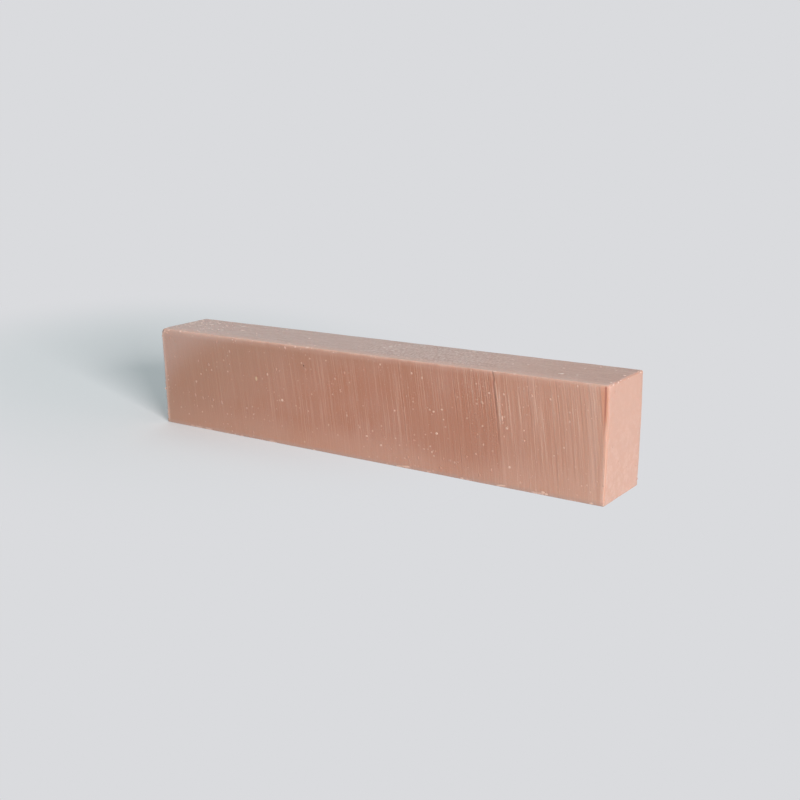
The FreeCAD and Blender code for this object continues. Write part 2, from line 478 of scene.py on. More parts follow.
def wire_mark_tree():
    """Drags the marks and the fine streaks down the cut faces, and roughens the broken corner."""
    tree, given, wanted = new_tree(
        "wire_marks",
        {"Skin": "geometry", "Ripple Depth": "number", "Break Roughness": "number"},
        {"Skin": "geometry"},
    )
    path = split(stored(tree, "wire_path", "FLOAT_VECTOR"))
    front = stored(tree, "front_face")
    back = stored(tree, "back_face")
    group = drag_mark_group()
    heights = []
    for place, breadth, depth, lip, start, reach, bow, lean in drag_marks:
        lengths = {
            "Place": place,
            "Breadth": breadth,
            "Depth": depth,
            "Lip": lip,
            "Bow": bow,
            "Lean": lean,
        }
        mark = node(tree, "GeometryNodeGroup", None, node_tree=group)
        for name, length in lengths.items():
            mark.inputs[name].default_value = length * mm
        mark.inputs["Start"].default_value = start
        mark.inputs["Reach"].default_value = reach
        heights.append(mark.outputs[0])
    marks = times(plus(*heights), front)

    busy = ramp(path[0], -60 * mm, 80 * mm, 0.2, 1.0)
    side = times(back, 30 * mm)
    narrow = plus(scratches(path, 1.1 * mm, 2.0 * mm, side), -0.5)
    wide = times(plus(scratches(path, 5 * mm, 5 * mm, side), -0.5), 0.3)
    ripples = times(plus(narrow, wide), busy, given["Ripple Depth"], plus(front, back))

    spot = node(tree, "GeometryNodeInputPosition").outputs[0]
    strip = times(end_strip(spot, path[1]), front, -end_strip_slope)
    rough = plus(grain(spot, 1.6 * mm, 4.0, 0.75), -0.6)
    crumbled = times(rough, stored(tree, "broken"), given["Break Roughness"])
    uneven = plus(grain(spot, 2.2 * mm, 3.0, 0.6), -0.6)
    nicked = times(uneven, stored(tree, "worn_edge"), 0.5 * mm)
    height = plus(marks, ripples, strip, crumbled, nicked)
    outwards = node(tree, "GeometryNodeInputNormal").outputs[0]
    lifted = node(tree, "ShaderNodeVectorMath", {0: outwards, "Scale": height}, operation="SCALE").outputs[0]
    scored = keep(given["Skin"], "mark_height", marks)
    there = node(tree, "ShaderNodeVectorMath", {0: spot, 1: lifted}, operation="ADD").outputs[0]
    inside = within_cut_size(there)
    moved = node(tree, "GeometryNodeSetPosition", {"Geometry": scored, "Position": inside}).outputs[0]
    whole = node(tree, "GeometryNodeRealizeInstances", {"Geometry": moved}).outputs[0]
    finished = node(tree, "GeometryNodeSetMaterial", {"Geometry": whole, "Material": soap}).outputs[0]
    tree.links.new(finished, wanted["Skin"])
    return tree


def mixed(first, second, share):
    """A colour between two, by a share from 0 to 1. Each may be a socket or a colour."""
    tree = tree_of(first, second, share)
    blend = node(tree, "ShaderNodeMix", {0: share}, data_type="RGBA")
    for key, colour in ((6, first), (7, second)):
        if isinstance(colour, bpy.types.NodeSocket):
            tree.links.new(colour, blend.inputs[key])
        else:
            blend.inputs[key].default_value = (*colour, 1.0)
    return blend.outputs[2]


def new_material(name):
    """A material with an empty shader, its tree and the shader."""
    material = bpy.data.materials.new(name)
    material.use_nodes = True
    tree = material.node_tree
    tree.nodes.clear()
    shader = tree.nodes.new("ShaderNodeBsdfPrincipled")
    surface = tree.nodes.new("ShaderNodeOutputMaterial")
    tree.links.new(shader.outputs[0], surface.inputs["Surface"])
    return material, tree, shader


def painted(tree, name, output="Fac"):
    """Reads what the mesh keeps under a name, for a finish."""
    return node(tree, "ShaderNodeAttribute", None, attribute_name=name).outputs[output]


def distance_from(across, up, middle, reach):
    """Squared distance from a middle over two directions, as shares of a reach in each."""
    squares = []
    for place, centre, size in zip((across, up), middle, reach):
        share = times(plus(place, -centre), 1 / size)
        squares.append(times(share, share))
    return plus(*squares)


def waxy(shader):
    """Light goes a few millimetres into soap, and red light the furthest."""
    shader.inputs["IOR"].default_value = 1.46
    shader.inputs["Subsurface Weight"].default_value = 0.25
    shader.inputs["Subsurface Radius"].default_value = (1.0, 0.42, 0.26)
    shader.inputs["Subsurface Scale"].default_value = 2.0 * mm


# The colours of the soap: pink-brown, denser where it is fresh, paler where it has dried and along the
# edges, where a painted highlight is mixed in. A thin greyish film on the upper left of the front is partly
# ash and partly a painted reflection, and the olive band beside it is painted shade. A paler bloom covers
# the top, partly a painted sheen. The right end is a pale face, partly a painted sheen, and the strip
# beside it the most orange, a painted glow. The furrows, the pit and the foot are darkened with painted
# shade.
soap_colour = (0.363, 0.178, 0.122)
dense_colour = (0.343, 0.152, 0.094)
dry_colour = (0.505, 0.312, 0.235)
edge_colour = (0.60, 0.415, 0.34)
left_edge_colour = (0.54, 0.385, 0.325)
end_and_sheen_colour = (0.425, 0.272, 0.214)
lit_strip_colour = (0.49, 0.235, 0.15)
ash_and_sheen_colour = (0.455, 0.36, 0.33)
bloom_and_sheen_colour = (0.66, 0.515, 0.465)
warm_bloom_and_sheen_colour = (0.70, 0.49, 0.415)
rim_highlight_colour = (0.80, 0.545, 0.46)
olive_colour = (0.30, 0.172, 0.117)
powder_colour = (0.72, 0.60, 0.54)
fleck_colour = (0.64, 0.46, 0.36)
furrow_shade_colour = (0.27, 0.12, 0.08)
dark_red_colour = (0.34, 0.14, 0.095)
band_highlight_colour = (0.53, 0.345, 0.27)
dust_and_shade_colour = (0.36, 0.25, 0.21)
pit_shade_colour = (0.10, 0.05, 0.035)

# Places on the skin where the finish changes, and how far each reaches to its sides.
crowd_place = (78 * mm, 36 * mm)  # flecks crowd on the front, left of the deep mark
crowd_reach = (13 * mm, 24 * mm)
dense_place = (66 * mm, 24 * mm)  # the soap is densest here, low on the front
dense_reach = (34 * mm, 20 * mm)
heavy_place = (42 * mm, 0.0)  # the bloom is thickest here on the top
heavy_reach = (55 * mm, 25 * mm)
pit_place = (-35.4 * mm, 48.4 * mm)
pit_reach = (0.45 * mm, 0.6 * mm)
ash_and_sheen_along = 80 * mm  # the pale film of ash and painted sheen reaches this far from the front's upper left corner
ash_and_sheen_down = 40 * mm
grey_band_place = 109 * mm


def read_skin(tree):
    """Where each point of the skin lies, and which face, edge, break and mark it is on."""
    on = SimpleNamespace()
    on.place = node(tree, "ShaderNodeTexCoord").outputs["Object"]
    on.x, on.y, on.z = split(on.place)
    on.path = split(painted(tree, "wire_path", "Vector"))
    on.front = painted(tree, "front_face")
    on.back = painted(tree, "back_face")
    on.top = painted(tree, "top_face")
    on.end = painted(tree, "right_end")
    on.edge = painted(tree, "worn_edge")
    on.broken = painted(tree, "broken")
    on.scored = painted(tree, "mark_height")
    on.to_front = plus(on.y, -low.y)
    on.under_top = maths("SUBTRACT", high.z, on.z)
    on.short = short_of_end(on.place, on.path[1])
    return on


def lay_streaks(on):
    """Adds the streaks down the cut faces, strongest towards the right end and the top."""
    rightwards = ramp(on.path[0], 5 * mm, 95 * mm, 0.70, 1.35)
    downwards = ramp(on.path[1], 0.10, 0.95, 1.0, 0.85)
    on.busy = times(rightwards, downwards, plus(on.front, on.back))
    side = times(on.back, 20 * mm)
    waver = times(plus(grain(on.place, 2.5 * mm, 3.0, 0.65), -0.5), 1.0 * mm)
    wavering = (plus(on.path[0], waver), on.path[1])
    on.hair = plus(scratches(wavering, 0.28 * mm, 0.9 * mm, side), -0.5)
    on.fine = plus(scratches(wavering, 0.50 * mm, 0.8 * mm, side), -0.5)
    on.wide = plus(scratches(wavering, 2.2 * mm, 3.0 * mm, side), -0.5)


def lay_spots(tree, on):
    """Adds the clouds and grains in the soap, the flecks, the pit and the unevenness of the top."""
    on.cloud = grain(on.place, 22 * mm, 3.0)
    on.pepper = plus(grain(on.place, 0.7 * mm, 3.0, 0.6), -0.5)
    crowd = distance_from(on.path[0], on.z, crowd_place, crowd_reach)
    on.crowded = times(ramp(crowd, 1.2, 0.3), on.front)
    cells = node(tree, "ShaderNodeTexVoronoi", {"Vector": on.place, "Scale": 330.0}).outputs
    spread = maths("MAXIMUM", ramp(grain(on.place, 14 * mm, 2.0), 0.42, 0.62), on.crowded)
    chosen = ramp(split(cells["Color"])[0], 0.60, 0.75)
    on.fleck = times(ramp(cells["Distance"], 0.24, 0.12), chosen, spread)
    pit = distance_from(on.x, on.z, pit_place, pit_reach)
    on.hollow = times(ramp(pit, 1.3, 0.5), on.front)

    along_top = node(tree, "ShaderNodeMapping", {"Vector": on.place, "Scale": (0.07, 1.0, 1.0)}).outputs[0]
    on.brushed = plus(grain(along_top, 0.6 * mm, 3.0, 0.6), -0.5)
    across_top = node(tree, "ShaderNodeMapping", {"Vector": on.place, "Scale": (1.0, 0.45, 1.0)}).outputs[0]
    on.specks = ramp(grain(across_top, 0.7 * mm, 3.0, 0.6), 0.57, 0.64)
    on.heavy = distance_from(on.x, on.y, heavy_place, heavy_reach)
    patches = plus(ramp(grain(across_top, 0.8 * mm, 4.0, 0.7), 0.42, 0.60), -0.4)
    on.mottled = times(patches, ramp(on.heavy, 1.0, 0.3, 0.3, 1.0))


def cut_colour(on):
    """The soap as the wire left it: cloudy, streaked and speckled. The pale and dense streaks are partly
    painted light and shade of the fine grooves, each pale lip is partly a painted highlight, and each brown
    furrow is painted shade.
    """
    colour = mixed(dense_colour, soap_colour, ramp(on.cloud, 0.30, 0.60))
    streaks = plus(times(on.hair, 2.0), times(on.fine, 2.6), times(on.wide, 0.8))
    # partly painted light and shade: the streaks stand in for fine grooves lit by the raking lamp
    paler = times(streaks, on.busy)
    colour = mixed(colour, dry_colour, maths("MAXIMUM", paler, 0.0))
    colour = mixed(colour, dense_colour, maths("MAXIMUM", times(paler, -1.0), 0.0))
    often = plus(0.32, times(on.crowded, 0.45))
    colour = mixed(colour, dry_colour, times(ramp(on.pepper, 0.06, 0.22), often))
    # partly a painted highlight on the lit lip of each mark
    lips = ramp(on.scored, 0.01 * mm, 0.08 * mm)
    colour = mixed(colour, dry_colour, times(lips, 0.5))
    # painted shade in each furrow
    shaded_furrows = ramp(on.scored, -0.02 * mm, -0.16 * mm)
    return mixed(colour, furrow_shade_colour, times(shaded_furrows, 0.85))


def beside_marks(on, colour):
    """A pale band right of the deep mark, wide at the top and again in the lower half, a painted highlight on
    the ridge there, and two greyish bands: one between the marks, and one along the strip beside the right
    end."""
    band_middle = ramp(on.path[1], 0.05, 0.5, 89.9 * mm, 88.7 * mm)
    off_third = maths("ABSOLUTE", plus(on.path[1], -0.3))
    band_reach = ramp(off_third, 0.1, 0.35, 0.6 * mm, 1.3 * mm)
    off_middle = maths("ABSOLUTE", maths("SUBTRACT", on.path[0], band_middle))
    band = ramp(maths("DIVIDE", off_middle, band_reach), 1.0, 0.5)
    thin = ramp(off_third, 0.08, 0.18, 0.7, 0.2)
    # painted highlight on the lit right flank of the ridge beside the deep mark
    colour = mixed(colour, band_highlight_colour, times(band, on.front, thin))

    along_strip = ramp(on.path[1], 0.0, 1.0, 8.6 * mm, 6.2 * mm)
    off_strip = maths("ABSOLUTE", maths("SUBTRACT", on.short, along_strip))
    off_band = maths("ABSOLUTE", plus(on.path[0], -grey_band_place))
    fading = ramp(on.path[1], 0.8, 0.4, 0.0, 0.4)
    grey_band = times(ramp(off_band, 2.6 * mm, 1.2 * mm), fading)
    greyish = plus(ramp(off_strip, 2.8 * mm, 1.6 * mm), grey_band)
    return mixed(colour, left_edge_colour, times(greyish, on.front, 0.25))


def dried_and_painted_light(on, colour):
    """Paler past the deep mark and towards the right end, partly drier soap and partly painted light from the
    lamp at that end, paler towards the foot with painted light bounced up from the paper, and denser in a
    patch before the mark.
    """
    towards_end = ramp(on.path[0], 100 * mm, 145 * mm, 0.0, 1.0)
    # partly painted light: paler towards the lamp at the right end
    dried = plus(ramp(on.path[0], 82 * mm, 94 * mm), towards_end)
    colour = mixed(colour, dry_colour, times(dried, on.front, 0.25))
    # painted light bounced up from the paper: paler towards the foot
    low_down = times(ramp(on.z, 20 * mm, 4 * mm), on.front)
    colour = mixed(colour, dry_colour, times(low_down, 0.28))
    patch = distance_from(on.x, on.z, dense_place, dense_reach)
    return mixed(colour, dense_colour, times(ramp(patch, 1.3, 0.0), on.front, 0.6))


def under_ash_and_sheen(on, colour):
    """A thin greyish film over the upper left of the front, partly ash and partly a painted reflection, and
    the olive band along it, painted shade.
    """
    from_left = maths("SQRT", times(plus(on.x, 150 * mm), 1 / ash_and_sheen_along))
    from_top = maths("SQRT", times(on.path[1], bar_height / ash_and_sheen_down))
    ash_and_sheen_reach = plus(from_left, from_top, times(plus(on.cloud, -0.5), 0.25))
    leftwards = ramp(on.x, 0.0, -110 * mm)
    colour = mixed(colour, olive_colour, times(leftwards, on.front, 0.35))
    # painted shade: the olive band along the edge of the painted sheen
    colour = mixed(colour, olive_colour, times(ramp(ash_and_sheen_reach, 2.1, 1.3), on.front, 0.45))
    # partly ash, partly a painted reflection of the pale surroundings
    return mixed(colour, ash_and_sheen_colour, times(ramp(ash_and_sheen_reach, 1.35, 0.80), on.front, 0.34))


def under_bloom_and_sheen(on, colour):
    """The top's bloom, brushed along the bar and mottled, with powder where it is thickest. The bloom is
    partly a painted sheen, and the front rim of the top a painted highlight.
    """
    bloom = mixed(bloom_and_sheen_colour, warm_bloom_and_sheen_colour, ramp(on.x, 20 * mm, 120 * mm))
    forward = ramp(on.y, -11 * mm, -16.5 * mm)
    at_rim = times(forward, ramp(on.x, -140 * mm, 120 * mm, 0.5, 1.0))
    # painted highlight along the top's front rim
    bloom = mixed(bloom, rim_highlight_colour, at_rim)
    thick = plus(0.64, on.brushed, times(on.mottled, 0.5))
    thinner = ramp(on.x, 70 * mm, 140 * mm, 1.0, 0.85)
    # the bloom is partly a painted sheen of the pale surroundings at a grazing view
    colour = mixed(colour, bloom, times(thick, thinner, on.top))
    powdered = ramp(on.heavy, 1.0, 0.2, 0.15, 0.8)
    return mixed(colour, powder_colour, times(on.specks, powdered, on.top))


def at_right_end(on, colour):
    """The pale, blotched right end, partly a painted sheen, the strip of the front beside it in an orange
    painted glow, and the edge between them, with a pale painted glow low down on the front.
    """
    # partly a painted sheen: the end face paler and greyer than the soap
    colour = mixed(colour, end_and_sheen_colour, times(on.end, 0.85))
    blotch = ramp(grain(on.place, 2.2 * mm, 5.0, 0.65), 0.42, 0.68)
    blotched = times(blotch, on.end, ramp(on.z, 50 * mm, 15 * mm, 0.05, 0.15))
    colour = mixed(colour, bloom_and_sheen_colour, blotched)
    strip = ramp(end_strip(on.place, on.path[1]), 0.1 * mm, 0.8 * mm)
    # painted glow: the strip orange and bright where it turns to the lamp and light shines through the edge
    colour = mixed(colour, lit_strip_colour, times(strip, on.front, 0.85))
    lower = ramp(on.z, 46 * mm, 36 * mm)
    edge_glow = times(ramp(on.short, 3.4 * mm, 0.6 * mm), lower, on.front)
    # painted glow along the front's right edge low down
    colour = mixed(colour, edge_colour, times(edge_glow, 0.5))
    corner = times(on.edge, ramp(on.short, 2.0 * mm, 1.0 * mm), ramp(on.z, 49 * mm, 41 * mm))
    return mixed(colour, olive_colour, times(corner, ramp(on.y, 0.0, -12 * mm), 0.45))


def worn_off(on, colour):
    """Dry worn edges with a painted highlight, strongest under the top's front edge, a dark red line beside
    the right end, painted shade and burrs along the foot, and the break.
    """
    rubbed = ramp(grain(on.place, 5 * mm, 4.0, 0.65), 0.30, 0.60, 0.6, 1.1)
    shoulder = ramp(on.under_top, 4.5 * mm, 1.5 * mm, 0.0, 0.3)
    under_edge = plus(ramp(on.under_top, 2.0 * mm, 0.1 * mm, 0.0, 0.7), shoulder)
    behind_edge = ramp(on.to_front, 6.0 * mm, 0.8 * mm)
    least = ramp(on.x, 30 * mm, 110 * mm, 0.62, 0.45)
    # partly a painted highlight on the rounded top edge
    beside_top = times(under_edge, behind_edge, plus(least, times(on.top, 0.3)))
    forward = times(ramp(on.y, 12 * mm, 4 * mm, 0.25, 0.7), ramp(on.z, 1 * mm, 4 * mm))
    off_right = ramp(on.x, 140 * mm, 147 * mm, 1.0, 0.1)
    worn = maths("MAXIMUM", times(on.edge, forward, off_right), beside_top)
    # worn edges paler, with a painted highlight mixed in
    colour = mixed(colour, edge_colour, times(worn, rubbed))

    off_line = maths("ABSOLUTE", plus(on.short, -1.9 * mm))
    dark_red_line = times(ramp(off_line, 0.7 * mm, 0.2 * mm), ramp(on.z, 30 * mm, 50 * mm))
    below_edge = ramp(on.under_top, 0.4 * mm, 1.4 * mm)
    # a dark red line a little short of the right end, below the top edge
    colour = mixed(colour, dark_red_colour, times(dark_red_line, below_edge))
    leftmost = ramp(on.x, -146.2 * mm, -149.0 * mm)
    beside_left = times(leftmost, ramp(on.to_front, 4 * mm, 2 * mm))
    # partly a painted glow along the left edge
    colour = mixed(colour, left_edge_colour, times(beside_left, rubbed, 0.75))

    foremost = ramp(on.to_front, 1.8 * mm, 0.8 * mm)
    foot_shade = times(ramp(on.z, 3.0 * mm, 0.5 * mm), foremost)
    # painted shade along the front's foot
    colour = mixed(colour, dust_and_shade_colour, times(foot_shade, 0.55))
    burr = times(ramp(on.z, 1.4 * mm, 0.7 * mm), foremost)
    burred = ramp(grain(on.place, 9 * mm, 3.0, 0.6), 0.54, 0.64, 0.0, 0.6)
    colour = mixed(colour, edge_colour, times(burr, burred))
    return mixed(colour, dry_colour, times(on.broken, ramp(on.pepper, -0.1, 0.1)))


def flecked(on, colour):
    """Pale flecks that lie in the soap, and the one pit that a grit left, darkened with painted shade."""
    colour = mixed(colour, fleck_colour, times(on.fleck, 0.45))
    # painted shade inside the pit
    return mixed(colour, pit_shade_colour, times(on.hollow, 0.8))


def skin_relief(on):
    """What stands out of the skin or sinks into it by less than the mesh can show."""
    combed = times(plus(times(on.hair, 0.06), times(on.fine, 0.12)), on.busy, mm)
    uneven = plus(times(on.brushed, 0.05), times(on.mottled, 0.10))
    sanded = times(uneven, on.top, mm)
    grainy = times(on.pepper, plus(0.04, times(on.crowded, 0.16)), mm)
    crumbly = times(grain(on.place, 0.7 * mm, 4.0, 0.7), on.broken, 0.5 * mm)
    sunk = times(on.hollow, -0.3 * mm)
    raised = times(on.fleck, 0.05 * mm)
    return plus(combed, sanded, grainy, crumbly, sunk, raised)


def soap_finish():
    material, tree, shader = new_material("waxy_soap")
    on = read_skin(tree)
    lay_streaks(on)
    lay_spots(tree, on)
    colour = cut_colour(on)
    layers = [beside_marks, dried_and_painted_light, under_ash_and_sheen, under_bloom_and_sheen, at_right_end, worn_off, flecked]
    for layer in layers:
        colour = layer(on, colour)
    tree.links.new(colour, shader.inputs["Base Color"])

    peppery = plus(0.48, times(on.pepper, 0.15))
    dull = plus(peppery, times(on.edge, 0.06), times(on.broken, 0.25))
    tree.links.new(dull, shader.inputs["Roughness"])
    waxy(shader)

    relief = {"Strength": 1.0, "Distance": 1.0, "Height": skin_relief(on)}
    bump = node(tree, "ShaderNodeBump", relief).outputs[0]
    tree.links.new(bump, shader.inputs["Normal"])
    return material


soap = soap_finish()
soap_bar = bar_skin()
make_solid(soap_bar, wire_mark_tree(), {"Ripple Depth": 0.05 * mm, "Break Roughness": 1.5 * mm})
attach(soap_bar, "root")
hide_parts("soap_bar")


# The crumbs
# Dried crumbs and shavings of the same soap. The wire tore them loose, and they stuck where they fell:
# thin on the cut faces and the top, thicker at the left end of the top and along the edges. The ones
# that show in the photograph are placed one by one, and the rest are scattered.
crumb_colour = (0.56, 0.375, 0.29)
flake_colour = (0.73, 0.63, 0.57)
yellow_crumb_colour = (0.43, 0.285, 0.18)

# Where each lies, within a millimetre of the skin, and its length, breadth and height, in millimetres.
front_y = -19.2
top_z = 59.4
yellow_crumb = ((-72.0, front_y, 36.7), (2.0, 2.9, 0.3))
# on the front: along and up
front_crumbs = [
    (49.3, 34.4, 1.3, 1, 0.3),
    (51.7, 33.8, 1.4, 1.2, 0.3),
    (50.6, 32.2, 1, 0.9, 0.2),
    (56.9, 35.6, 1.4, 1, 0.3),
    (57.8, 30.4, 1.2, 1, 0.25),
    (59.0, 26.6, 1.2, 1, 0.25),
    (53.3, 22.3, 1.7, 1.4, 0.35),
    (50.0, 22.2, 1.2, 1, 0.25),
    (46.2, 20.7, 1.2, 0.9, 0.2),
    (49.2, 14.8, 1.2, 1, 0.2),
    (50.2, 11.8, 1.3, 1, 0.25),
    (45.2, 12.7, 1.2, 0.9, 0.2),
    (61.6, 9.0, 1.2, 1.2, 0.25),
    (64.2, 8.4, 1.2, 1.2, 0.25),
    (38.4, 52.5, 1.4, 1.3, 0.25),
    (44.8, 50.8, 1.2, 1.6, 0.25),
    (77.6, 51.7, 1.2, 1.2, 0.25),
    (85.3, 47.9, 1.3, 1.2, 0.25),
    (93.5, 48.3, 1.2, 1.2, 0.25),
    (26.8, 31.0, 1.3, 1.2, 0.25),
    (17.0, 10.4, 1.6, 1.3, 0.35),
    (7.5, 14.1, 1.6, 1, 0.3),
    (18.1, 55.0, 1.3, 1.2, 0.25),
    (-5.9, 23.8, 1.3, 1.4, 0.35),
    (-6.1, 25.2, 0.9, 1.2, 0.25),
    (-9.7, 37.7, 1.2, 1.2, 0.25),
    (-19.1, 53.1, 1.2, 1, 0.2),
    (-52.7, 26.4, 1.7, 1.6, 0.35),
    (-56.4, 25.7, 1, 1, 0.2),
    (-53.8, 43.4, 1, 1.3, 0.25),
    (-63.1, 40.3, 1.3, 1.6, 0.3),
    (-92.2, 50.7, 1.2, 2, 0.2),
    (-108.0, 37.8, 1.4, 1.4, 0.2),
    (-117.3, 34.3, 1.4, 1.3, 0.25),
    (-121.7, 29.1, 1.4, 1.6, 0.25),
    (-97.3, 12.1, 1.3, 1.2, 0.2),
    (-75.7, 14.9, 1.3, 1.2, 0.2),
    (-130.0, 7.7, 1.4, 1.2, 0.2),
    (92.7, 36.0, 1.2, 3.2, 0.3),
    (93.0, 33.8, 0.9, 1.7, 0.3),
    (92.0, 39.4, 0.7, 2.2, 0.25),
    (95.3, 31.2, 1.6, 1.4, 0.35),
    (104.9, 31.4, 1.2, 1, 0.25),
    (104.5, 43.2, 1, 1, 0.25),
    (126.9, 26.1, 1.2, 1.2, 0.25),
    (121.6, 21.2, 1, 1, 0.2),
    (96.8, 11.3, 1.6, 1.4, 0.3),
    (103.1, 4.3, 1.2, 1.2, 0.2),
    # burrs along the foot
    (32.8, 1.1, 6.6, 1, 0.35),
    (28.5, 0.6, 3.5, 0.7, 0.25),
    (68.6, 0.7, 2.3, 0.9, 0.3),
    (91.9, 0.9, 6, 1, 0.35),
    (115.5, 1.5, 2.6, 1.4, 0.35),
    (117.4, 0.9, 2.3, 1.2, 0.3),
    (141.6, 0.8, 2.3, 1, 0.3),
    (-30.4, 0.5, 1.9, 0.7, 0.25),
    (-86.2, 0.5, 2.3, 0.7, 0.25),
]
# on the top and its edges: along and back
top_crumbs = [
    (-129.1, -18.6, 2.6, 1.7, 0.25),
    (-32.3, -18.8, 2.9, 1.3, 0.25),
    (-29.2, -18.9, 1.7, 0.9, 0.2),
    (88.2, -18.7, 2.3, 1.3, 0.3),
    (99.4, -18.8, 1.7, 0.9, 0.2),
    (-147.2, -15.6, 1.7, 2, 0.25),
    (-146.0, 8.5, 1.6, 1.8, 0.25),
    (-139.6, 6.2, 1.7, 1.2, 0.25),
    (-138.2, -5.6, 1.5, 1.2, 0.25),
    (-134.0, -2.4, 1.4, 1.0, 0.2),
    (-133.2, 13.6, 1.8, 1.3, 0.25),
    (-126.4, 1.6, 1.6, 1.0, 0.2),
    (-119.8, 7.2, 1.7, 1.2, 0.25),
    (-146.8, -8.2, 1.5, 1.6, 0.25),
    (-142.9, 1.2, 3.7, 2.9, 0.3),
    (-144.6, -3.4, 2, 1.7, 0.25),
    (-135.5, 0.2, 3.5, 1.4, 0.25),
    (-130.4, 5.4, 3.5, 2, 0.25),
    (-128.4, 10.2, 2.6, 1.7, 0.25),
    (-122.4, -4.8, 2.3, 1.4, 0.25),
    (-111.6, -4.8, 2, 1.4, 0.2),
    (-107.8, 9.7, 3.2, 2, 0.25),
    (-99.5, 0.6, 4, 1.6, 0.25),
    (-117.0, 2.0, 1.7, 1.3, 0.2),
    (7.8, 4.4, 2.6, 1.7, 0.25),
    (6.4, 0.6, 1.7, 1.2, 0.2),
    (9.6, 10.8, 2.3, 1.3, 0.2),
    (118.8, -7.7, 3.7, 1.4, 0.25),
    (127.3, -6.9, 1.3, 1.3, 0.25),
]
# on the left upright edge, about the broken corner and on the right end: along, back and up
end_crumbs = [
    (-149.2, -18.4, 24.9, 1, 2.3, 0.25),
    (-149.2, -18.2, 21.8, 1.3, 2.9, 0.25),
    (-149.2, -18.4, 16.2, 1, 1.7, 0.2),
    (-149.0, -18.4, 8.0, 1, 2, 0.2),
    (-148.8, -18.4, 1.8, 2.3, 1.4, 0.25),
    (-146.4, -18.2, 57.6, 1.6, 1.2, 0.3),
    (-144.4, -18.8, 57.0, 1.4, 1.4, 0.3),
    (-148.2, -17.0, 57.4, 1.4, 1.6, 0.3),
    (-142.6, -18.8, 58.8, 2, 1.2, 0.25),
    (-148.6, -18.6, 54.6, 1.2, 1.7, 0.25),
    (149.8, -12.4, 54.7, 1, 1.7, 0.35),
    (149.8, -14.4, 59.0, 0.9, 2.6, 0.2),
    (149.8, -9.0, 59.1, 0.8, 2.0, 0.2),
    (149.8, 15.8, 58.8, 1.0, 1.6, 0.25),
    (149.2, -4.5, 25.8, 1, 1.2, 0.25),
    (149.0, -5.1, 19.3, 0.9, 1.2, 0.25),
]
seen_crumbs = [
    yellow_crumb,
    *[((x, front_y, z), size) for x, z, *size in front_crumbs],
    *[((x, y, top_z), size) for x, y, *size in top_crumbs],
    *[((x, y, z), size) for x, y, z, *size in end_crumbs],
]


def crumb_seeds(crumbs):
    """A mesh of loose points on the skin, each with the way out of it and its crumb's size and paleness."""
    mesh = soap_bar.data
    skin = BVHTree.FromPolygons([v.co for v in mesh.vertices], [p.vertices for p in mesh.polygons])
    spots = []
    ways = []
    for place, _ in crumbs:
        spot, way, _, _ = skin.find_nearest(Vector(place) * mm)
        spots.append(spot)
        ways.append(way)
    seeds = bpy.data.meshes.new("crumb_seeds")
    seeds.from_pydata(spots, [], [])
    store(seeds, "outward", np.array(ways))
    store(seeds, "crumb_size", np.array([size for _, size in crumbs]) * mm)
    paleness = [np.interp(size[0], [1.0, 1.6], [0.2, 0.9]) for _, size in crumbs]
    store(seeds, "paleness", np.array(paleness))
    return seeds


def random_number(tree, start, end, seed):
    inputs = {"Min": start, "Max": end, "Seed": seed}
    return node(tree, "FunctionNodeRandomValue", inputs, data_type="FLOAT").outputs["Value"]


